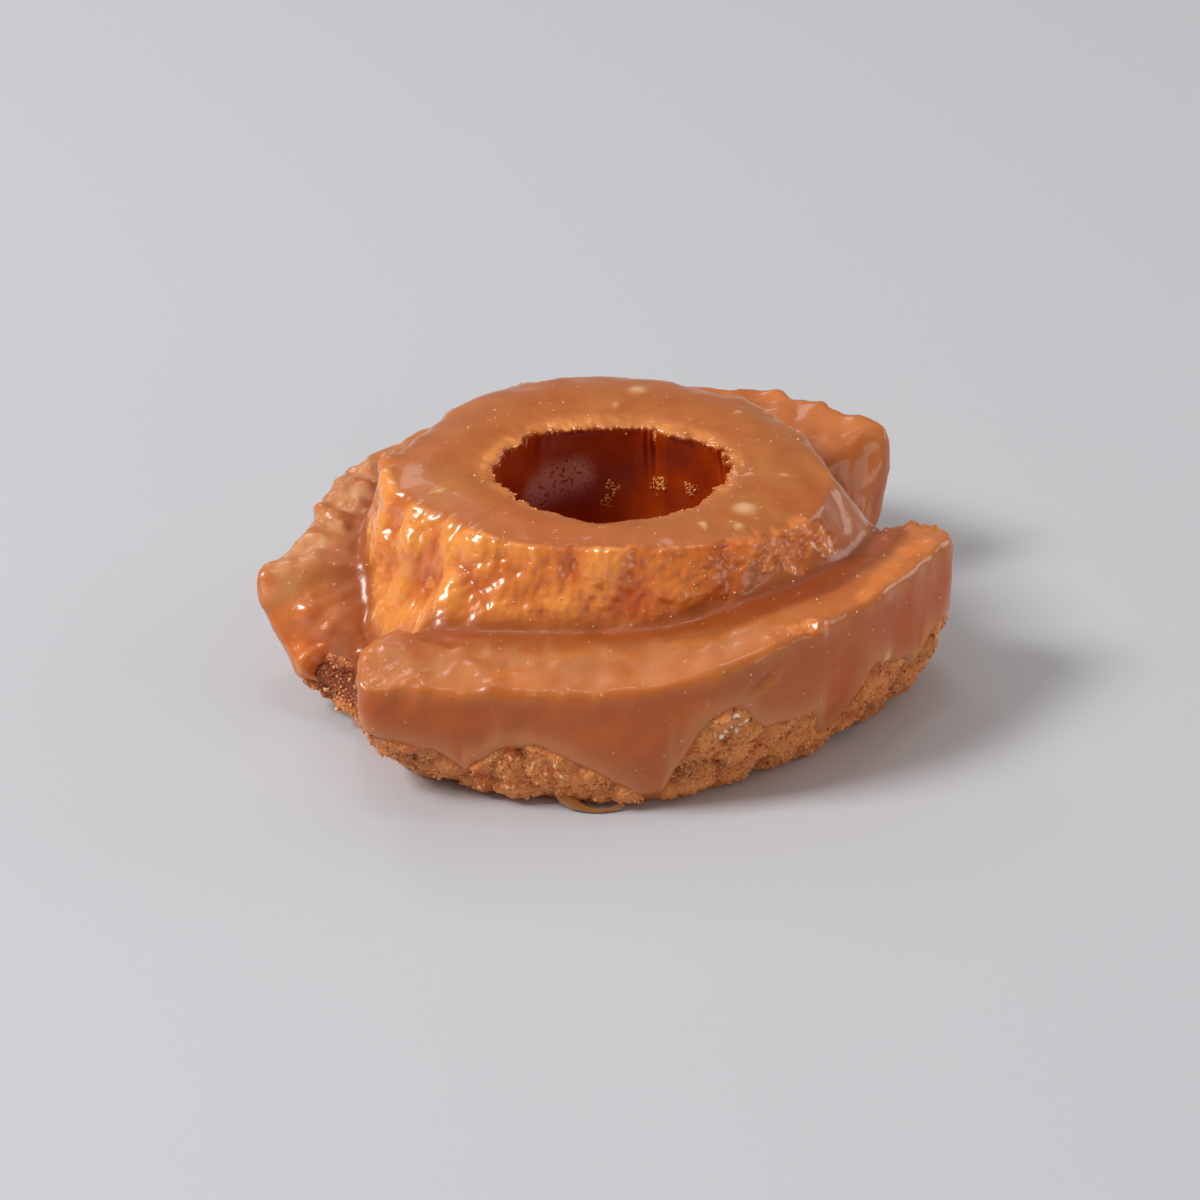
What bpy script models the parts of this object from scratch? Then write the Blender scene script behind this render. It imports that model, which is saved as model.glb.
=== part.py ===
"""An old-fashioned ring doughnut, lying flat: a raised crown round the hole, and three petals of dough that
broke away from it in the fryer and lean outwards. It is one solid, as the real one is.

Lengths are in metres, with +Z up. Angles are in degrees round the hole's axis, anticlockwise from above, and
270 is the front. The doughnut is made from a torus: each of its rings of vertices becomes one cut through the
dough, from the foot of the outer wall over the petal, the crack, the crown and the hole's wall to the flat base.
"""

import math

import bpy
import numpy as np
from mathutils import Vector, noise

MM = 0.001

# Driving dimensions, in millimetres.
CREST_HEIGHT = 34.0  # the crown's top, halfway between the hole and its edge
LIP_HEIGHT = 33.0  # the crown at the edge of the hole
HOLE_WAIST = 1.6  # how much wider the hole is below its lip
HOLE_FOOT = 0.8  # how much narrower it is at the base
FOOT_HEIGHT = 2.6  # where the outer wall turns in towards the base
BASE_INSET = 3.0  # from the foot to the flat base
LUMP_DEPTH = 0.7  # how far the fried crust's lumps stand out
LUMP_SIZE = 7.0  # how wide they are

COLUMNS = 108  # cuts round the ring
TURN_ROWS = 1  # vertices in each rounded corner of a cut, besides its two ends
SOFTENING = 1.3  # degrees over which one stretch of an outline blends into the next

# The hole's edge at the crown's top, as (angle, radius).
HOLE = (
    (14, 17.9), (41, 17.2), (63, 15.8), (98, 15.8), (129, 17.6), (160, 18.3), (185, 17.8), (209, 16.0),
    (237, 14.8), (273, 14.8), (312, 14.6), (343, 15.8),
)  # fmt: skip

# Where the crown's flat top breaks off, as (angle, radius, height). It is a disc that is cut short at the front.
CROWN_EDGE = (
    (0, 31.8, 32.4), (15, 31.8, 32.4), (40, 32.6, 32.3), (66, 34.0, 32.0), (100, 36.0, 31.8), (130, 35.6, 31.7),
    (150, 33.2, 32.0), (172, 34.4, 32.5), (187, 32.7, 32.5), (200, 28.8, 32.3), (216, 26.2, 32.3),
    (240, 23.4, 32.3), (264, 21.2, 32.3), (285, 22.0, 32.3), (301, 24.1, 32.3), (316, 27.2, 32.4),
    (333, 30.4, 32.5), (346, 31.8, 32.4),
)  # fmt: skip

# The bottom of the crack between the crown and the petals. It drops where one petal ends and the next begins.
CRACK = (
    (3, 40.2, 22.5), (8, 41.2, 10.0), (28, 40.6, 9.0), (32, 39.0, 11.0), (36, 37.2, 20.5), (60, 37.0, 20.5),
    (90, 38.2, 20.0), (109, 38.0, 19.0), (114, 39.0, 11.5), (119, 39.0, 11.5), (124, 38.4, 18.5),
    (150, 38.8, 20.5), (187, 37.0, 20.0), (195, 37.5, 15.0), (201, 38.3, 9.5), (206, 38.8, 6.5), (212, 39.0, 6.5),
    (217, 37.4, 16.0), (221, 36.0, 20.5), (226, 34.2, 20.5), (238, 29.6, 20.5), (252, 26.4, 20.5),
    (268, 25.4, 20.5), (282, 25.6, 21.5), (298, 27.4, 23.0), (315, 30.4, 24.5), (334, 34.2, 25.0),
    (350, 37.6, 24.5),
)  # fmt: skip

# The petals' upper outer edge. Each petal flares out at its ends.
PETAL_EDGE = (
    (1, 49.5, 23.0), (7, 44.6, 10.0), (14, 43.6, 8.0), (28, 43.6, 8.0), (32, 46.0, 13.0), (35, 54.6, 25.2),
    (42, 52.0, 25.2), (50, 51.6, 25.0), (59, 52.2, 24.5), (70, 50.4, 24.0), (90, 48.8, 23.0), (108, 50.2, 21.5),
    (114, 46.0, 12.5), (119, 46.0, 12.5), (124, 50.4, 20.0), (135, 49.2, 20.0), (148, 49.2, 20.5),
    (160, 47.6, 20.5), (173, 47.0, 20.5), (180, 48.6, 20.5), (187, 54.6, 20.0), (195, 50.2, 10.0),
    (201, 46.8, 6.0), (206, 43.0, 5.0), (212, 43.2, 5.5), (216, 45.2, 14.0), (219.5, 47.2, 20.5), (223, 50.2, 21.5),
    (227.5, 54.4, 20.0), (232, 50.8, 20.0), (238, 47.8, 20.0), (246, 44.6, 20.0), (259, 41.9, 20.0),
    (277, 41.4, 20.5), (287, 41.6, 22.0), (298, 43.2, 24.0), (308, 43.5, 25.5), (320, 44.2, 26.0),
    (335, 46.2, 26.0), (346, 48.4, 26.0), (353, 50.6, 26.0),
)  # fmt: skip

# The foot, as (angle, radius).
FOOT = (
    (0, 46.6), (20, 43.4), (36, 46.6), (60, 45.8), (90, 45.0), (120, 44.4), (150, 44.2), (176, 43.6), (190, 45.2),
    (198, 44.4), (206, 42.4), (215, 43.8), (225, 44.8), (242, 42.4), (259, 41.2), (277, 41.2), (288, 40.4),
    (304, 38.9), (319, 40.2), (332, 41.6), (346, 44.8),
)  # fmt: skip

# Where one petal ends and the next begins, as (angle, half the width in degrees): cuts stand closer together there.
PETAL_GAPS = ((17, 20), (116, 8), (208, 20))
CLOSER = 1.6  # how many more cuts stand in those stretches


def around(angles, table, column):
    """One column of an outline table at these angles: straight between its entries, then softened all round."""
    step = 0.25
    fine = np.arange(0.0, 360.0, step)
    knots = [row[0] for row in table]
    values = np.interp(fine, knots, [row[column] for row in table], period=360.0)
    reach = int(4 * SOFTENING / step)
    window = np.exp(-0.5 * (np.arange(-reach, reach + 1) * step / SOFTENING) ** 2)
    padded = np.concatenate([values[-reach:], values, values[:reach]])
    soft = np.convolve(padded, window / window.sum(), mode="valid")
    return np.interp(angles, fine, soft, period=360.0)


def cut_angles(count):
    """Angles of the cuts: evenly spaced shares of a density that is raised round the gaps between petals."""
    fine = np.linspace(0.0, 360.0, 1441)
    density = np.ones_like(fine)
    for middle, half in PETAL_GAPS:
        away = np.abs((fine - middle + 180.0) % 360.0 - 180.0)
        density += CLOSER * np.exp(-((away / half) ** 4))
    share = np.concatenate([[0.0], np.cumsum((density[1:] + density[:-1]) / 2)])
    return np.interp(np.arange(count) / count, share / share[-1], fine)


def corners(angles):
    """The corners of each cut, from the foot up, over and round to the base, as (radius, height, roundness)."""
    foot = around(angles, FOOT, 1)
    edge, edge_z = around(angles, PETAL_EDGE, 1), around(angles, PETAL_EDGE, 2)
    crack, crack_z = around(angles, CRACK, 1), around(angles, CRACK, 2)
    crown, crown_z = around(angles, CROWN_EDGE, 1), around(angles, CROWN_EDGE, 2)
    hole = around(angles, HOLE, 1)
    flat = np.zeros_like(angles)
    return [
        (foot, flat + FOOT_HEIGHT, 0.9),
        (foot + 0.75 * (edge - foot) + 0.8, 0.52 * edge_z, 1.0),
        (edge, edge_z, 0.45),
        (0.5 * (edge + crack), 0.5 * (edge_z + crack_z) + 0.9, 1.0),
        (crack, crack_z, 0.5),
        (crown, crown_z, 0.4),
        (0.5 * (crown + hole), flat + CREST_HEIGHT, 1.0),
        (hole, flat + LIP_HEIGHT, 0.35),
        (hole + HOLE_WAIST, flat + 0.62 * LIP_HEIGHT, 1.0),
        (hole - HOLE_FOOT, flat + 0.15 * LIP_HEIGHT, 0.8),
        (hole + BASE_INSET, flat, 0.0),
        (foot - BASE_INSET, flat, 0.0),
    ]


def cuts(angles):
    """All the cuts as an array of (radius, height), one row of it for each vertex of a cut.

    At a corner the line leaves the straight way to the corner, and follows a quadratic Bezier curve whose middle
    point is the corner. Its ends lie at a share, the roundness, of half the way to the corners on either side.
    """
    made = corners(angles)
    points = [np.stack([radius, height], axis=1) for radius, height, _ in made]
    rows = []
    for i, (_, _, roundness) in enumerate(made):
        corner = points[i]
        if roundness == 0.0:
            rows.append(corner)
            continue
        begin = corner + 0.5 * roundness * (points[i - 1] - corner)
        end = corner + 0.5 * roundness * (points[(i + 1) % len(points)] - corner)
        for t in np.linspace(0.0, 1.0, TURN_ROWS + 2):
            rows.append((1 - t) ** 2 * begin + 2 * t * (1 - t) * corner + t**2 * end)
    return np.stack(rows, axis=1)


def lumps(points):
    """How far the crust's lumps stand out at each point: smooth noise, drawn in the same way each time."""
    raised = [noise.noise(Vector(point) / LUMP_SIZE) for point in points.reshape(-1, 3)]
    return LUMP_DEPTH * np.reshape(raised, points.shape[:-1])


def surface(angles):
    """The doughnut's vertices as an array of (x, y, z) by cut and by place in the cut, centred on the origin."""
    cut = cuts(angles)
    turn = np.radians(angles)[:, None]
    direction = np.stack([np.cos(turn), np.sin(turn)], axis=-1)

    # Outwards is to the right of the way that a cut runs.
    along = np.roll(cut, -1, axis=1) - np.roll(cut, 1, axis=1)
    outward = np.stack([along[..., 1], -along[..., 0]], axis=-1)
    outward /= np.linalg.norm(outward, axis=-1, keepdims=True)
    smooth = np.concatenate([cut[..., :1] * direction, cut[..., 1:]], axis=-1)
    raised = lumps(smooth) * np.clip(cut[..., 1] / FOOT_HEIGHT, 0.0, 1.0)
    cut = cut + raised[..., None] * outward

    points = np.concatenate([cut[..., :1] * direction, cut[..., 1:]], axis=-1)
    low, high = points.min(axis=(0, 1)), points.max(axis=(0, 1))
    points[..., :2] -= 0.5 * (low + high)[:2]
    return points * MM


def crust_material():
    """Fried dough under a caramel glaze."""
    made = bpy.data.materials.new("glazed_crust")
    made.use_nodes = True
    shader = made.node_tree.nodes["Principled BSDF"]
    shader.inputs["Base Color"].default_value = (0.52, 0.19, 0.05, 1.0)
    shader.inputs["Roughness"].default_value = 0.35
    shader.inputs["Metallic"].default_value = 0.0
    return made


def doughnut(collection):
    """A torus whose rings of vertices are moved onto the cuts."""
    points = surface(cut_angles(COLUMNS))
    bpy.ops.mesh.primitive_torus_add(major_segments=COLUMNS, minor_segments=points.shape[1])
    ring = bpy.context.object
    ring.name = "doughnut"
    ring.data.name = "doughnut"
    ring.data.vertices.foreach_set("co", points.ravel())
    ring.data.shade_smooth()
    ring.data.set_sharp_from_angle(angle=math.radians(50))
    ring.data.materials.append(crust_material())
    for home in list(ring.users_collection):
        home.objects.unlink(ring)
    collection.objects.link(ring)
    return ring


def main():
    for old in list(bpy.data.objects):
        bpy.data.objects.remove(old)
    parts = bpy.data.collections.new("ring_doughnut")
    bpy.context.scene.collection.children.link(parts)
    doughnut(parts)


main()
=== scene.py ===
# %% [markdown]
# # A glazed old-fashioned doughnut
#
# An old-fashioned is a cake doughnut whose dough cracks open in the hot fat. A raised crown stays round the
# hole, and the rest breaks into petals that lean outwards. Caramel glaze is poured over it while it is warm:
# it levels itself on flat places, thins to a golden skin over the knobbly dough, and sets in a rounded bead
# and in drips where it stops. Below that edge the bare fried crust shows.
#
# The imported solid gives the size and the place. This script makes the doughnut again as fine surfaces: the
# crust, the glaze as a layer of its own, and the small things on them.

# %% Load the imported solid
import math
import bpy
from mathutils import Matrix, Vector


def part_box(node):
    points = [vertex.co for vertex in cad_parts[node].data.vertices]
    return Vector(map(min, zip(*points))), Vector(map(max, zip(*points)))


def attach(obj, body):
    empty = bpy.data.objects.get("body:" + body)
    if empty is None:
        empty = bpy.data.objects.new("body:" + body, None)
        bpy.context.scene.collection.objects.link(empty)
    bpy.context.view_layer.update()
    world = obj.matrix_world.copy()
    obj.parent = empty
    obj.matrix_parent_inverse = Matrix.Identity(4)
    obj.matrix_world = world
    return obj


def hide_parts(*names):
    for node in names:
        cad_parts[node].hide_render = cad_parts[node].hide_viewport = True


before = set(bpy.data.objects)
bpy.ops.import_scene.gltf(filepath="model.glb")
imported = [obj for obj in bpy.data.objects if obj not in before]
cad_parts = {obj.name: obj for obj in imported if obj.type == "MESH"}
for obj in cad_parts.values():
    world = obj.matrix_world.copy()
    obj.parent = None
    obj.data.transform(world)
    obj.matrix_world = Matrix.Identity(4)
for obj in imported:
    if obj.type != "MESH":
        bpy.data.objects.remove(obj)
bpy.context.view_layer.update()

from types import SimpleNamespace

import bpy
import numpy as np

MM = 0.001
cad_low, cad_high = (np.array(corner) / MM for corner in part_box("doughnut"))
print("the solid measures", np.round(cad_high - cad_low, 1), "mm")

# %% [markdown]
# ## The form
#
# A lump of dough like this could be sculpted, or grown from a cloth or fluid simulation. Both are hard to
# steer towards one particular doughnut. A ring, however, is the same kind of cut carried round an axis, and
# only the places of a few corners change on the way. So each corner of the cut gets an outline of its own: a
# list of angle, radius and height. Angles are in degrees round the hole, anticlockwise from above, with 270
# at the front, and lengths are in millimetres.

# %% Outlines of the corners
HOLE = (
    (14, 17.9), (41, 17.2), (63, 15.8), (98, 15.8), (129, 17.6), (160, 18.3), (185, 17.8), (209, 16.0),
    (237, 14.8), (273, 14.8), (312, 14.6), (343, 15.8),
)  # fmt: skip
CROWN_EDGE = (
    (0, 31.8, 32.4), (15, 31.8, 32.4), (40, 32.6, 32.3), (66, 34.0, 32.0), (100, 36.0, 31.8),
    (130, 35.6, 31.7), (150, 33.2, 32.0), (172, 34.4, 32.5), (187, 32.7, 32.5), (200, 28.8, 32.3),
    (216, 26.2, 32.3), (240, 23.4, 32.3), (264, 21.2, 32.3), (285, 22.0, 32.3), (301, 24.1, 32.3),
    (316, 27.2, 32.4), (333, 30.4, 32.5), (346, 31.8, 32.4),
)  # fmt: skip
CRACK = (
    (3, 40.2, 22.5), (8, 41.2, 10.0), (28, 40.6, 9.0), (32, 39.0, 11.0), (36, 37.2, 20.5), (60, 37.0, 20.5),
    (90, 38.2, 20.0), (109, 38.0, 19.0), (114, 39.0, 11.5), (119, 39.0, 11.5), (124, 38.4, 18.5),
    (150, 38.8, 20.5), (187, 37.0, 20.0), (195, 37.5, 15.0), (201, 38.3, 9.5), (206, 38.8, 6.5),
    (212, 39.0, 6.5), (217, 37.4, 16.0), (221, 36.0, 20.5), (226, 34.2, 20.5), (238, 29.6, 20.5),
    (252, 26.4, 20.5), (268, 25.4, 20.5), (282, 25.6, 21.5), (298, 27.4, 23.0), (315, 30.4, 24.5),
    (334, 34.2, 25.0), (350, 37.6, 24.5),
)  # fmt: skip
PETAL_EDGE = (
    (1, 49.5, 23.0), (7, 44.6, 10.0), (14, 43.6, 8.0), (28, 43.6, 8.0), (32, 46.0, 13.0), (35, 54.6, 25.2),
    (42, 52.0, 25.2), (50, 51.6, 25.0), (59, 52.2, 24.5), (70, 50.4, 24.0), (90, 48.8, 23.0),
    (108, 50.2, 21.5), (114, 46.0, 12.5), (119, 46.0, 12.5), (124, 50.4, 20.0), (135, 49.2, 20.0),
    (148, 49.2, 20.5), (160, 47.6, 20.5), (173, 47.0, 20.5), (180, 48.6, 20.5), (187, 54.6, 20.0),
    (195, 50.2, 10.0), (201, 46.8, 6.0), (206, 43.0, 5.0), (212, 43.2, 5.5), (216, 45.2, 14.0),
    (219.5, 47.2, 20.5), (223, 50.2, 21.5), (227.5, 54.4, 20.0), (232, 50.8, 20.0), (238, 47.8, 20.0),
    (246, 44.6, 20.0), (259, 41.9, 20.0), (277, 41.4, 20.5), (287, 41.6, 22.0), (298, 43.2, 24.0),
    (308, 43.5, 25.5), (320, 44.2, 26.0), (335, 46.2, 26.0), (346, 48.4, 26.0), (353, 50.6, 26.0),
)  # fmt: skip
FOOT = (
    (0, 46.6), (20, 43.4), (36, 46.6), (60, 45.8), (90, 45.0), (120, 44.4), (150, 44.2), (176, 43.4),
    (190, 41.4), (198, 42.0), (206, 42.4), (215, 43.8), (225, 44.8), (242, 42.4), (259, 41.2), (277, 41.2),
    (288, 40.4), (304, 38.9), (319, 40.2), (332, 41.6), (346, 44.8),
)  # fmt: skip
CREST_HEIGHT, LIP_HEIGHT, FOOT_HEIGHT = 34.0, 33.0, 2.6
HOLE_WAIST, HOLE_FOOT, BASE_INSET = 1.6, 0.8, 3.0


def along_outline(angles, table, column=1, softening=1.3):
    """A column of an outline at these angles: straight between entries, then blurred over a few degrees."""
    step = 0.25
    fine = np.arange(0.0, 360.0, step)
    values = np.interp(fine, [row[0] for row in table], [row[column] for row in table], period=360.0)
    reach = int(4 * softening / step)
    window = np.exp(-0.5 * (np.arange(-reach, reach + 1) * step / softening) ** 2)
    padded = np.concatenate([values[-reach:], values, values[:reach]])
    soft = np.convolve(padded, window / window.sum(), mode="valid")
    return np.interp(angles, fine, soft, period=360.0)


def ease(low, high, value):
    """0 below low, 1 above high, and a smooth step between."""
    t = np.clip((value - low) / (high - low), 0.0, 1.0)
    return t * t * (3 - 2 * t)


def hump(angles, middle, half):
    """1 at an angle, falling off as a bell of this half width, in degrees."""
    away = (angles - middle + 180.0) % 360.0 - 180.0
    return np.exp(-((away / half) ** 2))


def corners_at(angles):
    """The cut's twelve corners as (radius, height, roundness), from the foot up and over to the base."""
    foot, hole, flat = along_outline(angles, FOOT), along_outline(angles, HOLE), np.zeros_like(angles)
    edge, edge_z = along_outline(angles, PETAL_EDGE), along_outline(angles, PETAL_EDGE, 2)
    crack, crack_z = along_outline(angles, CRACK), along_outline(angles, CRACK, 2)
    crown, crown_z = along_outline(angles, CROWN_EDGE), along_outline(angles, CROWN_EDGE, 2)
    return (
        (foot, flat + FOOT_HEIGHT, 0.9),
        (foot + 0.75 * (edge - foot) + 0.8 + 1.6 * hump(angles, 350, 9), 0.52 * edge_z, 1.0),
        (edge, edge_z, 0.45 - 0.12 * hump(angles, 262, 42)),
        (0.5 * (edge + crack), 0.5 * (edge_z + crack_z) + 0.9, 1.0),
        (crack, crack_z, 0.5),
        (crown, crown_z, 0.4 - 0.22 * hump(angles, 265, 75) - 0.2 * hump(angles, 0, 35)),
        (0.5 * (crown + hole), flat + CREST_HEIGHT, 1.0),
        (hole, flat + LIP_HEIGHT, 0.15),
        (hole + HOLE_WAIST, flat + 0.62 * LIP_HEIGHT, 1.0),
        (hole - HOLE_FOOT, flat + 0.15 * LIP_HEIGHT, 0.8),
        (hole + BASE_INSET, flat, 0.0),
        (foot - BASE_INSET, flat, 0.0),
    )


# Names for places along the cut. A place between two corners is a number between theirs.
AT_FOOT, AT_WALL, AT_EDGE, AT_TOP, AT_CRACK, AT_CROWN = range(6)
AT_CREST, AT_LIP, AT_WAIST, AT_THROAT, AT_BASE = range(6, 11)
CORNERS = 12


def cut_line(angles, places):
    """The cut's line at these places, as (radius, height) for each angle and place.

    Within half a roundness of a corner the line is a quadratic Bezier curve, with the corner as its middle
    point. Further away it is straight, so it always passes the middle between two corners.
    """
    radii, heights, roundness = zip(*corners_at(angles))
    line = np.empty((len(angles), len(places), 2))
    nearest = np.floor(places + 0.5).astype(int)
    for i in range(CORNERS):
        rows = np.flatnonzero(nearest % CORNERS == i)
        away = (places - nearest)[rows]
        bend = np.maximum(roundness[i] + np.zeros_like(angles), 1e-6)[:, None]
        t = np.clip(0.5 + away / bend, 0.0, 1.0)
        past = np.maximum(np.abs(away) - bend / 2, 0.0)
        for k, values in enumerate((radii, heights)):
            before, here, after = (values[j % CORNERS][:, None] for j in (i - 1, i, i + 1))
            begin, end = here + bend / 2 * (before - here), here + bend / 2 * (after - here)
            curve = (1 - t) ** 2 * begin + 2 * t * (1 - t) * here + t**2 * end
            line[:, rows, k] = curve + past * np.where(away < 0, before - here, after - here)
    return line


# Where one petal ends and the next begins, the shape changes fast: columns stand closer together there.
GAPS = ((17, 20, 1.6), (116, 8, 1.6), (208, 20, 1.6), (270, 75, 0.7))


def column_angles(count):
    """Angles of the columns: equal shares of a density that rises round the gaps and at the front."""
    fine = np.linspace(0.0, 360.0, 1441)
    density = np.ones_like(fine)
    for middle, half, more in GAPS:
        away = np.abs((fine - middle + 180.0) % 360.0 - 180.0)
        density += more * np.exp(-((away / half) ** 4))
    share = np.concatenate([[0.0], np.cumsum((density[1:] + density[:-1]) / 2)])
    return np.interp(np.arange(count) / count, share / share[-1], fine)


def row_places(rows):
    """Places of the rows: from each listed place to the next one, so many."""
    starts = [start for start, _ in rows]
    spans = zip(starts, starts[1:] + [CORNERS], rows)
    return np.concatenate([np.linspace(low, high, count, endpoint=False) for low, high, (_, count) in spans])


def spin(angles, line):
    """Points of the ring: each cut's (radius, height) turned to its angle."""
    turn = np.radians(angles)[:, None]
    return np.stack([line[..., 0] * np.cos(turn), line[..., 0] * np.sin(turn), line[..., 1]], axis=-1)


sample = spin(column_angles(360), cut_line(column_angles(360), np.arange(3 * CORNERS) / 3))
HOLE_AXIS = (cad_low + cad_high)[:2] / 2 - (sample.min(axis=(0, 1)) + sample.max(axis=(0, 1)))[:2] / 2
print("the hole's axis stands at", np.round(HOLE_AXIS, 2), "mm")

# %% [markdown]
# ## Noise and normals
#
# Dough isn't smooth at any size, so every surface is pushed in and out along its normals by noise. Blender
# has noise textures and a Displace modifier, but then the bumps can't follow the places on the cut. Working
# the noise out on whole arrays keeps that in one formula.

# %% Noise on whole arrays


def rolling_noise(points, size, seed):
    """Gradient noise in -1..1: each cell's eight corners hold random slopes, blended by a smooth curve."""
    rng = np.random.default_rng(seed)
    order = rng.permutation(256)
    slopes = rng.normal(size=(256, 3))
    slopes /= np.linalg.norm(slopes, axis=1, keepdims=True)
    cell = points / size
    low = np.floor(cell).astype(int)
    part = cell - low
    fade = part**3 * (part * (part * 6 - 15) + 10)
    total = np.zeros(points.shape[:-1])
    for corner in np.ndindex(2, 2, 2):
        x, y, z = np.moveaxis((low + corner) & 255, -1, 0)
        slope = slopes[order[(order[(order[x] + y) & 255] + z) & 255]]
        weight = np.prod(np.where(corner, fade, 1 - fade), axis=-1)
        total += weight * np.sum(slope * (part - corner), axis=-1)
    return total * 1.6


def grain_noise(points, size, seed):
    """Distance to the nearest of the points strewn one to a cell: 0 in a grain's middle, about 1 between."""
    rng = np.random.default_rng(seed)
    order = rng.permutation(256)
    strewn = rng.random((256, 3))
    cell = points / size
    low = np.floor(cell).astype(int)
    nearest = np.full(points.shape[:-1], 9.0)
    for step in np.ndindex(3, 3, 3):
        neighbour = low + np.array(step) - 1
        x, y, z = np.moveaxis(neighbour & 255, -1, 0)
        spot = neighbour + strewn[order[(order[(order[x] + y) & 255] + z) & 255]]
        nearest = np.minimum(nearest, np.sum((spot - cell) ** 2, axis=-1))
    return np.sqrt(nearest)


def outward(points):
    """Unit normals of a ring-shaped grid: the cross product of its two directions."""
    round_way = np.roll(points, -1, axis=0) - np.roll(points, 1, axis=0)
    cut_way = np.roll(points, -1, axis=1) - np.roll(points, 1, axis=1)
    normal = np.cross(round_way, cut_way)
    return normal / np.maximum(np.linalg.norm(normal, axis=-1, keepdims=True), 1e-9)


# %% [markdown]
# ## From a grid to a mesh
#
# A ring-shaped grid closes on itself both ways, so it has no seams and no poles. Its numbers go into the
# mesh in one call each, and what varies over the surface, such as how thin the glaze is, goes in as
# attributes that the materials read.

# %% The mesh maker


def add_mesh(name, points, faces, smooth=True, **attributes):
    """A mesh object from points in millimetres round the hole's axis, faces, and numbers for each point."""
    points = points.reshape(-1, 3) + [*HOLE_AXIS, 0.0]
    mesh = bpy.data.meshes.new(name)
    mesh.vertices.add(len(points))
    mesh.vertices.foreach_set("co", (points * MM).ravel())
    mesh.loops.add(faces.size)
    mesh.loops.foreach_set("vertex_index", faces.ravel())
    mesh.polygons.add(len(faces))
    mesh.polygons.foreach_set("loop_start", np.arange(len(faces)) * faces.shape[1])
    mesh.polygons.foreach_set("use_smooth", np.full(len(faces), smooth))
    for key, values in attributes.items():
        layer = mesh.attributes.new(key, "FLOAT", "POINT")
        layer.data.foreach_set("value", np.asarray(values, dtype=np.float32).ravel())
    mesh.update(calc_edges=True)
    made = bpy.data.objects.new(name, mesh)
    bpy.context.scene.collection.objects.link(made)
    print(name, "has", len(faces) * (faces.shape[1] - 2), "triangles")
    return made


def ring_faces(columns, rows):
    """Quads of a grid that closes on itself both ways."""
    i, j = np.meshgrid(np.arange(columns), np.arange(rows), indexing="ij")
    i2, j2 = (i + 1) % columns, (j + 1) % rows
    return np.stack([i * rows + j, i2 * rows + j, i2 * rows + j2, i * rows + j2], axis=-1).reshape(-1, 4)


def finish_piece(piece, material):
    """Gives a piece its material, and makes it ride on the doughnut."""
    piece.data.materials.clear()
    piece.data.materials.append(material)
    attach(piece, "root")


# %% [markdown]
# ## Where the glaze ends
#
# The glaze's lower edge is a line round the outer wall. Its height at each angle is a short list, with a
# drip wherever the line runs down to a point. The distance above that line decides how thick the glaze is:
# nothing below it, a rounded bead at the edge, and an even coat higher up.

# %% The edge of the glaze
GLAZE_EDGE = (
    (0, 9.5), (4, 7.0), (10, 4.5), (18, 3.4), (24, 5.2), (31, 4.2), (37, 6.5), (45, 3.0), (49, 1.6),
    (53, 4.4), (62, 8.0), (74, 9.0), (82, 5.2), (86, 2.2), (90, 5.8), (100, 9.4), (110, 7.0), (118, 4.6),
    (126, 7.4), (137, 9.8), (145, 6.2), (149, 3.0), (153, 6.8), (162, 9.4), (172, 8.2), (179, 6.0),
    (184, 4.6), (189, 3.4), (192, 2.6), (194.5, 3.8), (197.5, 6.6), (202, 8.4), (209, 8.0), (214, 8.4),
    (222, 11.0), (228, 11.4), (232, 10.6), (237, 9.0), (239, 7.6), (240.9, 5.6), (242.8, 7.4), (245.8, 9.0),
    (248.5, 10.8), (252, 11.2), (255.4, 11.0), (258, 9.9), (261.2, 8.8), (265, 7.3), (269.2, 5.4),
    (272.7, 3.7), (275.9, 1.4), (278, 0.6), (280, 1.2), (280.9, 4.5), (281.8, 6.4), (283.1, 7.6),
    (284.3, 9.6), (285.8, 11.6), (287, 13.0), (288.6, 14.4), (291.1, 15.6), (294, 16.4), (296.1, 15.6),
    (298, 13.0), (301.2, 11.7), (305, 11.2), (311.4, 11.4), (313.2, 10.0), (315, 6.6), (317.3, 4.4),
    (320.2, 4.4), (322, 6.0), (324, 9.4), (325.6, 12.4), (327.4, 14.4), (332, 13.6), (335.4, 11.6),
    (338, 11.2), (340.6, 9.4), (342.4, 8.0), (343.8, 10.6), (345.4, 13.0), (348.5, 13.9), (353, 12.9),
)  # fmt: skip

# Bare places higher up, where the glaze ran off torn dough, as (angle, radius, height, how far they reach).
BARE_PLACES = (
    (204.5, 42.6, 6.2, 4.5), (209, 40.0, 4.0, 3.5), (200.5, 45.2, 7.6, 3.4), (19, 44.5, 5.0, 5.2),
    (27, 43.0, 5.0, 4.0), (116, 46.5, 8.0, 3.6),
)  # fmt: skip


def round_point(angle, radius, height):
    """A point of the doughnut by its angle in degrees, its radius and its height."""
    turn = math.radians(angle)
    return np.array([radius * math.cos(turn), radius * math.sin(turn), height])


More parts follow.
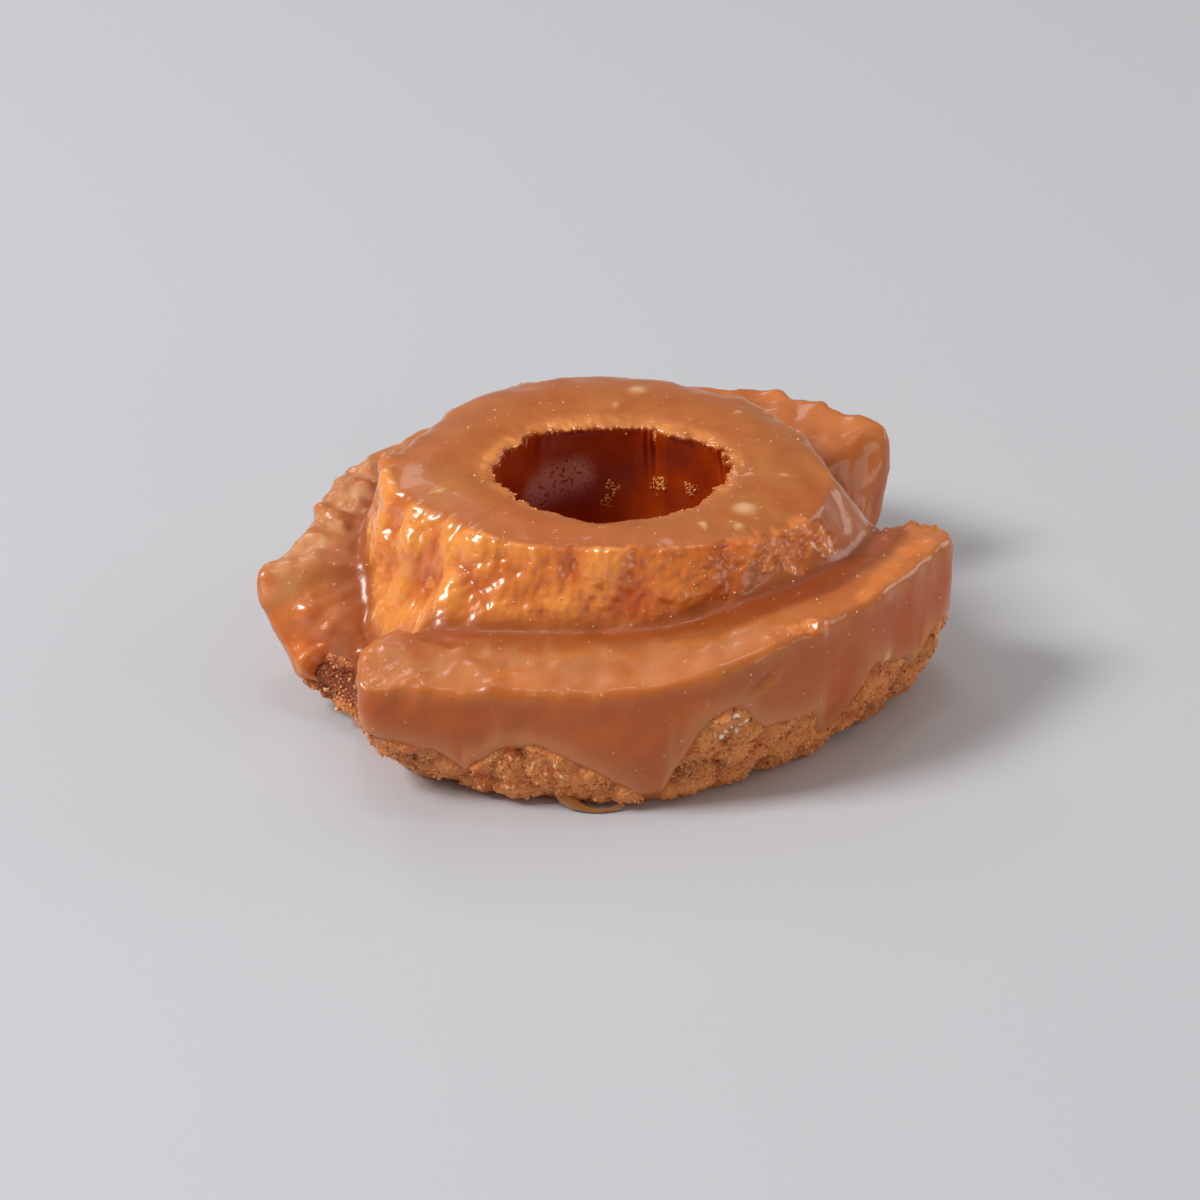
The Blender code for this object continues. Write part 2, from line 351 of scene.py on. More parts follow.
def above_edge(angles, line, places):
    """Millimetres above the glaze's edge, measured square to it: large on top, and small at the base."""
    edge = along_outline(angles, GLAZE_EDGE, softening=0.55)
    points = spin(angles, line)
    wobble = 0.25 * rolling_noise(points, 1.6, 31) + 0.3 * rolling_noise(points, 4.5, 32)
    edge_line = edge[:, None] + wobble
    slope = np.gradient(edge, np.radians(angles)) / 45.0
    on_wall = (line[..., 1] - edge_line) / np.sqrt(1 + slope[:, None] ** 2)
    in_hole = line[..., 1] - 1.6
    place = np.where(places >= CORNERS - 1, places - CORNERS, places)
    clear = np.full(line.shape[:2], 12.0)
    near_top = 8 * ease(AT_WALL + 0.6, AT_EDGE, place)
    clear = np.where(place <= AT_EDGE, np.minimum(on_wall + near_top, 12.0), clear)
    clear = np.where((place > AT_LIP) & (place <= AT_BASE), in_hole, clear)
    for angle, radius, height, reach in BARE_PLACES:
        away = np.linalg.norm(points - round_point(angle, radius, height), axis=-1)
        clear = np.minimum(clear, away - reach + 2 * wobble)
    return np.where(place > AT_BASE, -3.0, clear)


# %% [markdown]
# ## The lumpy form
#
# Fried dough swells in broad rolls, and single swellings stand out where steam pushed. They could be
# sculpted by hand, but a sculpture can't be read or changed later. Here the rolls are a noise, each swelling
# is one bell with a place, a height and a width, and both push the form out along its normals.

# %% Swellings
# Single swellings in the dough, as (angle, radius, height, how far it stands out, how wide it is).
SWELLINGS = (
    (171, 34.0, 32.0, 1.2, 1.7), (178, 33.4, 31.0, 0.7, 1.6), (199, 31.0, 26.0, 1.2, 2.6),
    (207, 29.5, 29.0, 0.9, 2.0), (191, 36.0, 24.5, 0.9, 2.4), (196, 44.0, 13.5, 0.9, 2.0),
    (192.5, 46.2, 15.4, 1.1, 1.6), (190, 41.0, 21.0, -0.7, 3.0), (160, 43.5, 22.0, -1.2, 3.2),
    (157, 45.5, 21.6, 0.9, 1.8), (139, 45.1, 21.0, 1.0, 1.7), (147, 45.6, 20.8, 1.0, 1.6),
    (165, 46.6, 21.0, 0.9, 1.5), (168, 44.0, 21.2, 0.9, 1.3), (172, 41.6, 21.4, 0.9, 1.3),
    (176, 44.8, 21.0, 0.8, 1.7), (184, 45.5, 20.6, 0.6, 1.8), (226, 43.0, 21.5, 0.8, 3.0),
    (232, 46.0, 20.8, 0.5, 2.0), (241, 41.2, 20.6, 0.8, 1.7), (236, 38.8, 21.2, 0.7, 1.9),
    (219, 45.5, 19.6, 0.8, 1.7), (222, 41.0, 21.2, 0.7, 1.8), (247, 43.4, 20.2, 0.5, 1.8),
    (308, 41.2, 25.6, 0.7, 1.4), (313, 43.0, 25.2, 0.9, 1.6), (303, 41.8, 24.6, 0.5, 1.4),
    (36.5, 53.4, 25.2, 0.5, 1.0), (41, 51.4, 25.2, 0.5, 1.2), (49.5, 50.8, 24.9, 0.6, 1.1),
    (58.8, 51.0, 24.2, 0.5, 1.2), (64, 46.4, 24.2, 0.6, 1.6), (54, 45.4, 24.4, 0.5, 1.6),
    (72, 46.4, 23.8, 0.7, 1.8), (80, 44.0, 23.4, 0.8, 1.8), (97, 44.5, 22.8, 0.7, 1.9),
)  # fmt: skip


def near_places(points, places):
    """1 in the middle of any of these (angle, radius, height, reach), falling to 0 outside their reach."""
    near = 0.0
    for *spot, reach in places:
        away = np.linalg.norm(points - round_point(*spot), axis=-1)
        near = np.maximum(near, np.exp(-((away / reach) ** 4)))
    return near


def near_line(points, line, reach):
    """1 on a line through these (angle, radius, height), falling off to 0 outside its reach."""
    knots = [round_point(*knot) for knot in line]
    near = 0.0
    for start, stop in zip(knots, knots[1:]):
        way = stop - start
        along = np.clip((points - start) @ way / (way @ way), 0.0, 1.0)
        away = np.linalg.norm(points - start - along[..., None] * way, axis=-1)
        near = np.maximum(near, np.exp(-((away / reach) ** 4)))
    return near


def lumps(points):
    """How far the fried dough stands out at each point, in millimetres: broad rolls and single swellings."""
    height = 0.55 * rolling_noise(points, 8.0, 11) + 0.2 * rolling_noise(points, 3.6, 12)
    for angle, radius, z, rise, width in SWELLINGS:
        away = points - round_point(angle, radius, z)
        height += rise * np.exp(-np.sum(away**2, axis=-1) / width**2)
    return height


def stretch(places, low, high, soft=0.25):
    """1 for the rows between two places of the cut, with soft ends."""
    return ease(low - soft, low + soft, places) * (1 - ease(high - soft, high + soft, places))


def form(columns, rows_between):
    """Angles, places, the cuts' lines and the lumpy points of a grid over the whole doughnut."""
    angles, places = column_angles(columns), row_places(rows_between)
    line = cut_line(angles, places)
    points = spin(angles, line)
    level = 1 - 0.9 * stretch(places, AT_CROWN + 0.3, AT_LIP - 0.2, 0.3)
    grounded = np.clip(line[..., 1] / FOOT_HEIGHT, 0.0, 1.0)
    return angles, places, line, points + (lumps(points) * level * grounded)[..., None] * outward(points)


# %% [markdown]
# ## Torn dough under the glaze
#
# Where the dough tore, its inside shows as knobs and shreds that the glaze only wets. Voxel remeshing or a
# sculpted brush would give such a surface, but slowly. The distance to points strewn in space does it in one
# formula: a half less its square is a row of rounded domes with sharp creases between them.

# %% Knobs and grains


def domes(points, size, seed):
    """Rounded lumps with creases between them: a half less the squared distance to the nearest middle."""
    return 0.5 - grain_noise(points, size, seed) ** 2


def grains(points, size, seed):
    """Round grains on an even ground, 0..1: a bell of the distance to the nearest."""
    return np.exp(-((grain_noise(points, size, seed) / 0.42) ** 2))


def knobs(points):
    """The crown's broken front, in millimetres: knobs and flutes, with smaller knobs on them."""
    bent = points + 1.4 * rolling_noise(points, 6.0, 24)[..., None]
    relief = 1.35 * domes(bent * (1.0, 1.0, 0.72), 5.4, 21) + 0.42 * domes(points, 2.3, 22)
    flutes = rolling_noise(bent * (1.0, 1.0, 0.5), 4.6, 25)
    return relief + 0.75 * flutes + 0.2 * rolling_noise(points, 1.1, 23)


def shreds(points):
    """Small torn bits, in millimetres: a close noise with grains on it."""
    return 0.4 * rolling_noise(points, 1.9, 29) + 0.3 * grains(points, 1.1, 30) - 0.35


# %% Where the dough tore
# Torn dough on the crown's right side and on a ridge of the front petal, as (angle, radius, height, reach).
TORN_PLACES = (
    (333, 30.4, 31.8, 2.2), (328, 30.4, 30.6, 2.4), (323, 29.2, 30.6, 2.4), (327, 31.4, 28.0, 2.4),
    (339, 33.2, 28.0, 2.0), (317, 28.0, 31.0, 2.2), (312, 27.0, 31.2, 2.4), (332, 31.2, 29.6, 2.4),
    (337, 32.4, 29.8, 2.2), (320, 29.2, 29.2, 2.0), (308, 41.4, 25.4, 1.2), (311, 42.2, 25.3, 1.2),
    (314, 43.2, 25.0, 1.2),
)  # fmt: skip

# Two lines on the front petal, as (angle, radius, height): a ridge whose dough glows through the glaze, and
# the ragged crest of the petal's right end.
GLOWING_RIDGE = ((326, 43.4, 25.7), (335, 43.2, 26.1), (343, 44.2, 26.0), (350, 46.0, 25.8))
CREST = ((358, 39.6, 24.4), (357.5, 43.0, 25.0), (357, 46.6, 25.2), (355, 50.2, 24.8))

# Blisters of air under the glaze's skin, in the same terms as the torn places.
BLISTERS = (
    (328.4, 22.5, 33.6, 1.6), (82, 26.8, 33.6, 1.3), (318, 24.4, 33.6, 0.8), (357, 25.6, 33.8, 0.6),
    (193, 26.3, 33.6, 0.6), (308, 21.0, 33.6, 0.6), (89, 21.9, 33.8, 0.6), (45, 27.0, 33.6, 0.5),
    (358, 19.8, 33.6, 0.5), (331.6, 45.4, 14.0, 1.1),
)  # fmt: skip


def dough_kinds(turn, places, points):
    """What the dough is like at each point: shares of 0..1 by name, and knobs and shreds in millimetres."""
    front = ease(166, 180, turn) * (1 - ease(302, 318, turn))
    front = front + 0.5 * hump(turn, 60, 70) + 0.5 * hump(turn, 130, 30)
    scallops = 0.1 * rolling_noise(points, 2.6, 26) + 0.06 * rolling_noise(points, 1.0, 27)
    below_crown = 1 - ease(AT_CROWN - 0.02, AT_CROWN + 0.1, places + scallops)
    crown_wall = np.clip(front, 0, 1) * ease(AT_CRACK - 0.1, AT_CRACK + 0.35, places) * below_crown
    petal_ends = 0.6 * (hump(turn, 198, 7) + hump(turn, 222, 5) + hump(turn, 355, 6) + hump(turn, 36, 5))
    rough_petals = 0.5 * hump(turn, 60, 34) + 1.3 * hump(turn, 160, 34) + 0.8 * hump(turn, 228, 11)
    rough_petals = rough_petals + 0.5 * hump(turn, 345, 12) + 0.4 * hump(turn, 250, 20)
    on_petal = stretch(places, AT_EDGE - 0.3, AT_CRACK - 0.3, 0.3)
    rim_side = 1 - 0.96 * hump(turn, 268, 56)
    return SimpleNamespace(
        crown_wall=crown_wall,
        broken=np.clip(crown_wall + petal_ends * stretch(places, AT_WALL + 0.5, AT_CRACK, 0.3), 0, 1),
        torn=ease(0.35, 0.5, near_places(points, TORN_PLACES) + 0.45 * rolling_noise(points, 2.2, 28)),
        glowing=near_line(points, GLOWING_RIDGE, 1.2 + 0.5 * rolling_noise(points, 4.0, 33)),
        crest=near_line(points, CREST, 1.6),
        blisters=near_places(points, BLISTERS),
        bumpy=0.7 * np.clip(rough_petals, 0, 1.3) * on_petal,
        rim_side=rim_side,
        rim=rim_side * stretch(places, AT_LIP - 0.3, AT_LIP + 0.03, 0.12),
        scallops=scallops,
        knobs=knobs(points),
        shreds=shreds(points),
    )


# %% [markdown]
# ## The glaze
#
# Poured glaze could be a fluid simulation, which would be slow and never stop in the same place twice. A
# layer worked out from the form is enough: it is the dough's surface plus the coat's thickness. Under the
# bare crust the layer dips inside the dough, so that the two surfaces cross in a sharp line, as they do on
# the real one.

# %% The fold
FOLD = ((302.4, 43.0, 21.0), (296.2, 42.6, 18.2))


def fold(points):
    """A fold in the glaze: along the line between two points, a raised lip with a groove above it."""
    start, stop = (round_point(*end) for end in FOLD)
    way = (stop - start) / np.linalg.norm(stop - start)
    across = np.cross(way, round_point(FOLD[0][0], 1.0, 0.0))
    along, over = (points - start) @ way, (points - start) @ (across / np.linalg.norm(across))
    length = np.linalg.norm(stop - start)
    inside = ease(-1.0, 1.2, along) * (1 - ease(length - 1.2, length + 1.0, along))
    near = np.linalg.norm(points - (start + stop) / 2, axis=-1) < length
    lip, groove = np.exp(-(((over + 0.65) / 0.6) ** 2)), np.exp(-(((over - 0.45) / 0.55) ** 2))
    return near * inside * lip, near * inside * groove


# %% The bitten rim of the hole


def bite_rim(places, points, angles, share):
    """Moves the hole's lip in and out.

    The size of a noise gives round bites, with a tooth wherever it is zero. Bites into the dough go on down
    the wall and fade, but the teeth overhang it.
    """
    lip = spin(angles, np.broadcast_to((16.0, LIP_HEIGHT), (len(angles), 1, 2)))
    bites = 2.2 * np.abs(rolling_noise(lip, 2.6, 47)) + 1.1 * np.abs(rolling_noise(lip, 1.1, 48)) - 1.0
    bites += 0.9 * rolling_noise(lip, 4.5, 46)
    reach = np.where(places < AT_LIP, 0.2, np.where(bites > 0, 0.5, 0.05))
    bites = bites * share * np.exp(-(((places - AT_LIP) / reach) ** 2))
    widen = 1 + bites / np.linalg.norm(points[..., :2], axis=-1)
    return points * np.stack([widen, widen, np.ones_like(widen)], axis=-1)


# %% How far the glaze stands out
COAT, BEAD = 0.12, 0.3  # the glaze's thickness in millimetres, and how much thicker its edge is
DIP = 1.3  # how deep it goes inside the bare crust


def glaze_height(points, above, dough, lip, groove):
    """Millimetres that the glaze stands out: coat and bead, plus the dough's relief, plus waves and folds."""
    bead = BEAD * np.exp(-(((above - 1.0) / 0.9) ** 2))
    coat = (COAT + bead) * (1 - np.exp(-np.maximum(above, 0) / 0.4))
    coat = np.where(above > 0, coat, np.maximum(-DIP, 1.4 * above))
    waves = 0.09 * rolling_noise(points, 5.0, 41) + 0.03 * rolling_noise(points, 1.9, 42)
    bumps = dough.bumpy * (rolling_noise(points, 3.4, 45) + 0.4 * rolling_noise(points, 1.5, 46))
    teeth = 1.3 * np.abs(rolling_noise(points, 2.0, 49)) + 0.7 * np.abs(rolling_noise(points, 1.0, 50))
    covered = ease(0.0, 1.5, above)
    height = coat + covered * (waves + bumps + dough.broken * dough.knobs + dough.torn * dough.shreds)
    height += 0.25 * dough.rim * rolling_noise(points, 1.6, 43) + dough.crest * teeth
    return height + 0.35 * dough.blisters + 0.7 * lip - 0.5 * groove


# %% What its colours follow
# A painted reflection on the hole's wall, painted sheen on the left petal, painted shade low at that petal's
# end, and that petal's broken end, all as (angle, radius, height, reach).
REFLECTION_SPOTS = ((128, 18.8, 22.4, 2.9), (120, 18.4, 23.6, 3.3), (111, 17.8, 24.4, 3.2))
SHEEN_PLACES = ((189, 50.5, 20.5, 4.5), (181, 46.5, 21.0, 4.0), (152, 44.0, 21.5, 5.0))
LOW_SHADE = ((200, 41.0, 11.0, 5.0),)
END_FACE = ((199, 45.0, 14.0, 7.5), (193, 47.5, 13.0, 5.0))


def glaze_tones(turn, places, points, above, dough, lip, groove):
    """The numbers that the glaze's material reads: relief in millimetres, and the rest as shares of 0..1."""
    right, before = hump(turn, 324, 38), places < AT_EDGE
    end_face = near_places(points, END_FACE)
    ridge = stretch(places, AT_EDGE - 0.1, AT_EDGE + 0.6, 0.3)
    ridge = ridge * (0.55 + 0.45 * rolling_noise(points, 6.0, 51))
    golden = dough.crown_wall * (0.8 + 0.3 * dough.knobs) + 0.9 * dough.torn + 0.75 * dough.glowing
    golden = golden + 0.5 * ridge
    golden += dough.rim * (0.4 + 0.5 * rolling_noise(points, 3.5, 52)) + 0.8 * groove
    golden += 0.8 * end_face * (0.8 + 0.6 * rolling_noise(points, 4.0, 54))
    # Glaze pooled in the crack, painted darker still on the right as painted shade where the crown shades the
    # valley.
    pooled_and_shade = (0.5 + 0.5 * right) * stretch(places, AT_CRACK - 0.75 - 0.3 * right, AT_CRACK + 0.12, 0.18)
    sides = 0.6 + 0.4 * hump(turn, 345, 36) + 0.3 * hump(turn, 232, 22)
    # Its last term gives the crown wall's right part the darker wall colour: painted shade.
    wall = sides * (1 - ease(AT_EDGE - 0.3, AT_EDGE, places)) + 0.5 * hump(turn, 302, 24) * dough.crown_wall
    # Painted sheen: the petal tops and places on the left petal are made paler, where light glances off the
    # glaze.
    tops = 0.6 * hump(turn, 272, 24) + 0.9 * hump(turn, 165, 34) + 0.5 * hump(turn, 232, 12)
    tops = tops * stretch(places, AT_EDGE + 0.1, AT_TOP + 0.5, 0.3)
    painted_sheen = near_places(points, SHEEN_PLACES) * (1 - end_face) + tops
    painted_sheen = painted_sheen * np.clip(0.28 + 0.4 * rolling_noise(points, 3.5, 53), 0, 0.6)
    thin_edge = 0.34 * np.exp(-((above / 2.6) ** 2)) * before
    drips = np.clip(hump(turn, 342.4, 1.6) + hump(turn, 192, 2.5), 0, 1)
    drips = drips * (1 - ease(1.5, 4.0, above)) * before
    throat = ease(AT_LIP - 0.01, AT_LIP + 0.05, places + 0.3 * dough.scallops) * (places < AT_BASE + 1)
    # Low relief is painted darker in the material: painted shade in the recesses and in the fold's groove.
    relief = dough.knobs * dough.broken + dough.torn * (dough.shreds + 0.35) + 0.6 * dough.rim - groove
    # The last term darkens the crown wall towards its right: painted shade.
    relief -= 0.25 * dough.glowing + 0.5 * end_face + 0.4 * hump(turn, 300, 26) * dough.crown_wall
    return {
        "golden": np.clip(golden, 0, 1),
        "throat": throat,
        # with painted shade low in the fillet at the left petal's end
        "pooled_and_shade": np.maximum(pooled_and_shade, 0.6 * near_places(points, LOW_SHADE)),
        "wall": wall,
        "relief": relief,
        "amber": drips + 0.5 * lip + 0.3 * dough.glowing,
        # a painted reflection on the hole's wall
        "bloom": near_places(points, REFLECTION_SPOTS),
        "pale": dough.blisters + painted_sheen + thin_edge,
    }


# %% Make the glaze
GLAZE_ROWS = (
    (AT_FOOT, 17), (AT_WALL, 12), (AT_EDGE, 13), (AT_TOP, 10), (AT_CRACK, 34), (AT_CROWN, 8), (AT_CREST, 5),
    (AT_CREST + 0.7, 18), (AT_LIP + 0.35, 8), (AT_WAIST, 9), (AT_THROAT, 4), (AT_BASE, 4),
)  # fmt: skip
GLAZE_COLUMNS = 690
OVER_FLOOR = 0.05  # the lowest that glaze and crumbs come, in millimetres


def make_glaze():
    """The glaze's surface: the form moved out along its normals, with the hole's rim bitten."""
    angles, places, line, points = form(GLAZE_COLUMNS, GLAZE_ROWS)
    turn = angles[:, None]
    above = above_edge(angles, line, places)
    dough = dough_kinds(turn, places, points)
    lip, groove = fold(points)
    points = points + glaze_height(points, above, dough, lip, groove)[..., None] * outward(points)
    points = bite_rim(places, points, angles, dough.rim_side)
    points[..., 2] = np.maximum(points[..., 2], OVER_FLOOR)
    tones = glaze_tones(turn, places, points, above, dough, lip, groove)
    return add_mesh("caramel_glaze", points, ring_faces(*points.shape[:2]), **tones), points, above


glaze, glaze_points, glaze_above = make_glaze()

# %% [markdown]
# ## The bare crust
#
# The fried crust is crumbly at every size: knobs of a few millimetres, and grains down to a tenth of that.
# Where glaze lies over it, it keeps a little below the glaze.

# %% The crust
CRUST_ROWS = (
    (AT_FOOT, 36), (AT_WALL, 14), (AT_EDGE, 4), (AT_TOP, 3), (AT_CRACK, 8), (AT_CROWN, 4), (AT_CREST, 4),
    (AT_LIP, 6), (AT_WAIST, 6), (AT_THROAT, 4), (AT_BASE, 13),
)  # fmt: skip
CRUST_COLUMNS = 900
DEEPEST = 1.0  # how far the torn crust sinks, which is less than the glaze's dip


def make_crust():
    """The dough's surface: the form, lowered under the glaze, with knobs and grains where it is bare."""
    angles, places, line, points = form(CRUST_COLUMNS, CRUST_ROWS)
    above = above_edge(angles, line, places)
    bare = 1 - ease(-0.6, 0.8, above)
    grounded = ease(0.0, 1.0, line[..., 1])
    bent = points + 0.8 * rolling_noise(points, 3.0, 60)[..., None]
    relief = 2.0 * domes(bent, 4.8, 61) + 0.55 * grains(bent, 1.9, 62) + 0.35 * grains(points, 0.9, 63) - 0.3
    torn = hump(angles, 206, 13)[:, None] * stretch(places, AT_FOOT, AT_CRACK + 0.4, 0.3)
    holes = ease(0.0, 0.5, rolling_noise(points * (1.0, 1.0, 0.6), 3.0, 64))
    under_glaze = np.exp(-(((above + 2.4) / 1.6) ** 2))
    # The lowered relief sinks the torn crust and also darkens its colour: painted shade in the holes and
    # under the glaze's edge.
    relief = relief - torn * (0.1 + 2.0 * holes) - 0.8 * torn * under_glaze
    raise_by = bare * grounded * np.maximum(relief - 0.1, -DEEPEST) - 0.5 * (1 - bare)
    points = points + raise_by[..., None] * outward(points)
    points[..., 2] = np.maximum(points[..., 2], 0.0)
    made = add_mesh("fried_crust", points, ring_faces(*points.shape[:2]), relief=relief)
    return made, points, bare * grounded


crust, crust_points, crust_bare = make_crust()
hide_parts("doughnut")

# %% [markdown]
# ## Crumbs, bubbles and sugar
#
# Crumbs cling to the bare crust and to the ragged rim of the hole, small bubbles set in the glaze's skin,
# and a few flakes of sugar stick low on the front. A particle system would scatter them, but the finished
# mesh needs them as real geometry. So each kind is one mesh: a twenty-sided stone, turned, stretched and
# dented anew for each copy.

# %% Scattering
GOLD = (1 + math.sqrt(5)) / 2
STONE = np.array(
    [(-1, GOLD, 0), (1, GOLD, 0), (-1, -GOLD, 0), (1, -GOLD, 0), (0, -1, GOLD), (0, 1, GOLD),
     (0, -1, -GOLD), (0, 1, -GOLD), (GOLD, 0, -1), (GOLD, 0, 1), (-GOLD, 0, -1), (-GOLD, 0, 1)]
) / math.hypot(1, GOLD)  # fmt: skip
STONE_FACES = np.array(
    [(0, 11, 5), (0, 5, 1), (0, 1, 7), (0, 7, 10), (0, 10, 11), (1, 5, 9), (5, 11, 4), (11, 10, 2),
     (10, 7, 6), (7, 1, 8), (3, 9, 4), (3, 4, 2), (3, 2, 6), (3, 6, 8), (3, 8, 9), (4, 9, 5), (2, 4, 11),
     (6, 2, 10), (8, 6, 7), (9, 8, 1)]
)  # fmt: skip


def random_turns(rng, count):
    """Rotation matrices spread evenly over all directions, from random unit quaternions."""
    w, x, y, z = (q := rng.normal(size=(4, count))) / np.linalg.norm(q, axis=0)
    return np.array(
        [[1 - 2 * (y * y + z * z), 2 * (x * y - z * w), 2 * (x * z + y * w)],
         [2 * (x * y + z * w), 1 - 2 * (x * x + z * z), 2 * (y * z - x * w)],
         [2 * (x * z - y * w), 2 * (y * z + x * w), 1 - 2 * (x * x + y * y)]]
    ).transpose(2, 0, 1)  # fmt: skip


def scatter(name, spots, sizes, seed, uneven=0.3, smooth=False):
    """Stones at these spots, of these radii, each with its own turn, stretch and dents, as one mesh."""
    rng = np.random.default_rng(seed)
    stretch_by = rng.uniform(1 - uneven, 1 + uneven, size=(len(spots), 1, 3))
    dents = rng.uniform(1 - uneven, 1 + uneven, size=(len(spots), len(STONE), 1))
    stones = (STONE * stretch_by * dents) @ random_turns(rng, len(spots)) * sizes[:, None, None]
    faces = STONE_FACES + len(STONE) * np.arange(len(spots))[:, None, None]
    points = stones + spots[:, None]
    points[..., 2] = np.maximum(points[..., 2], OVER_FLOOR)
    tone = np.repeat(rng.random(len(spots)), len(STONE))
    return add_mesh(name, points, faces.reshape(-1, 3), smooth, tone=tone)


def pick(rng, points, weight, count):
    """Random spots of a grid, drawn by weight, each moved part of the way to the next row and column."""
    chosen = rng.choice(weight.size, size=count, p=(weight / weight.sum()).ravel())
    i, j = np.unravel_index(chosen, weight.shape)
    a, b = rng.random((2, count, 1))
    here = points[i, j]
    next_column, next_row = points[(i + 1) % len(points), j], points[i, (j + 1) % points.shape[1]]
    return here + a * (next_column - here) + b * (next_row - here)


# %% [markdown]
# ## Crumbs on the bare crust
#
# Where no glaze holds it together, the fried crust sheds crumbs. They could be painted on as bumps, but
# crumbs that stand free catch the light and throw small shadows. Each spot is drawn by how bare the crust is
# there, times the size of the grid's cell, so that they lie evenly.

# %% Crumbs on the bare crust
rng = np.random.default_rng(5)
to_column, to_row = (np.roll(crust_points, -1, axis) - crust_points for axis in (0, 1))
cell_area = np.linalg.norm(np.cross(to_column, to_row), axis=-1)
showing = crust_bare * (crust_points[..., 2] > 0.4) * (np.linalg.norm(crust_points[..., :2], axis=-1) > 30)
CRUMBS = 5200
crumb_spots = pick(rng, crust_points, showing * cell_area, CRUMBS)
crumbs = scatter("crust_crumbs", crumb_spots, 0.07 + 0.26 * rng.random(CRUMBS) ** 2, 6, uneven=0.45)

# %% [markdown]
# ## Golden crumbs
#
# Round the hole the dough tore when it was cut, and bits of it hang on the rim under a skin of glaze. A few
# clusters of them lie on the hole's wall. They are rounder and shinier than bare crumbs, so they are smooth.

# %% Golden crumbs on the rim of the hole
glaze_angles, glaze_places = column_angles(GLAZE_COLUMNS)[:, None], row_places(GLAZE_ROWS)
at_rim = np.exp(-(((glaze_places - AT_LIP + 0.02) / 0.06) ** 2)) * (1 - 0.98 * hump(glaze_angles, 268, 62))
ridge_bits = 0.2 * hump(glaze_angles, 311, 4.5) * np.exp(-(((glaze_places - AT_EDGE - 0.3) / 0.3) ** 2))
CLUSTERS = ((90, 17.2, 22.4, 1.1), (93, 17.4, 19.6, 1.0), (64, 16.9, 23.8, 1.2), (48, 17.8, 24.0, 1.0))
ON_RIM, IN_HOLE = 260, 240
rim_spots = pick(rng, glaze_points, at_rim + ridge_bits, ON_RIM)
hole_spots = pick(rng, glaze_points, near_places(glaze_points, CLUSTERS), IN_HOLE)
golden_sizes = np.concatenate([0.07 + 0.22 * rng.random(ON_RIM) ** 2, 0.08 + 0.2 * rng.random(IN_HOLE) ** 2])
golden_spots = np.concatenate([rim_spots, hole_spots])
rim_crumbs = scatter("golden_crumbs", golden_spots, golden_sizes, 7, uneven=0.4, smooth=True)

# %% [markdown]
# ## Small bubbles
#
# Air that rose through the warm glaze left pale specks in its skin. A bump pattern would flatten them. As
# small balls that are half sunk in the glaze they keep their outline from the side, and one more level of
# subdivision makes them round.

# %% Small bubbles in the glaze
open_glaze = (glaze_above > 3) * ((glaze_places > AT_EDGE - 0.6) & (glaze_places < AT_LIP - 0.2))
BUBBLES = 340
bubble_spots = pick(rng, glaze_points, open_glaze.astype(float), BUBBLES)
bubbles = scatter("bubbles", bubble_spots, 0.1 + 0.17 * rng.random(BUBBLES) ** 2, 8, uneven=0.1, smooth=True)
soft = bubbles.modifiers.new("round", "SUBSURF")
soft.levels = soft.render_levels = 1

# %% [markdown]
# ## Flakes of sugar
#
# A little of the glaze dried white where it was scraped, low on the front. There are only a few flakes, so
# their places are a given list.

# %% Flakes of sugar low on the front
# As (angle, radius, height, how big it is).
FLAKES = (
    (293.8, 43.0, 15.2, 0.5), (295.4, 43.1, 14.3, 0.42), (293.9, 43.0, 12.9, 0.45), (292.4, 42.9, 14.2, 0.28),
    (290.8, 42.8, 12.1, 0.3), (292.9, 42.9, 13.5, 0.26), (294.6, 43.0, 13.6, 0.3), (291.6, 42.9, 13.0, 0.24),
)  # fmt: skip
flake_spots = np.array([round_point(*spot) for *spot, _ in FLAKES])
sugar = scatter("sugar_flakes", flake_spots, np.array([size for *_, size in FLAKES]), 9, uneven=0.45)

# %% [markdown]
# ## A strand under the foot
#
# Where the big drip touched down, a little clear syrup ran along under the foot and set as a thin bridge. It
# is a round profile carried along a short path.

# %% The strand


def tube(name, path, radii, sides=14):
    """A closed tube: circles square to a rounded path, with radii read along it and a point at each end."""
    knots = np.arange(len(path))
    steps = np.linspace(0, knots[-1], 8 * len(path))
    centre = np.stack([np.interp(steps, knots, column) for column in zip(*path)], axis=1)
    for _ in range(12):
        centre[1:-1] = (centre[:-2] + 2 * centre[1:-1] + centre[2:]) / 4
    way = np.gradient(centre, axis=0)
    side = np.cross(way, (0.0, 0.0, 1.0))
    side /= np.linalg.norm(side, axis=1, keepdims=True)
    over = np.cross(side, way)
    over /= np.linalg.norm(over, axis=1, keepdims=True)
    turn = np.arange(sides)[:, None] * math.tau / sides
    circle = np.cos(turn) * side[:, None] + np.sin(turn) * over[:, None]
    skin = centre[:, None] + np.interp(steps, knots, radii)[:, None, None] * circle
    points = np.concatenate([skin.reshape(-1, 3), centre[:1], centre[-1:]])
    points[:, 2] = np.maximum(points[:, 2], 0.03)
    i, j = (grid.ravel() for grid in np.meshgrid(np.arange(len(steps) - 1), np.arange(sides), indexing="ij"))
    j2 = (j + 1) % sides
    a, b, c, d = i * sides + j, i * sides + j2, (i + 1) * sides + j2, (i + 1) * sides + j
    ring, following = np.arange(sides), (np.arange(sides) + 1) % sides
    last, first_pole = (len(steps) - 1) * sides, np.full(sides, len(skin) * sides)
    ends = [(first_pole, ring, following), (first_pole + 1, last + following, last + ring)]
    faces = [np.stack(group, axis=-1) for group in [(a, d, c), (a, c, b), *ends]]
    return add_mesh(name, points, np.concatenate(faces))


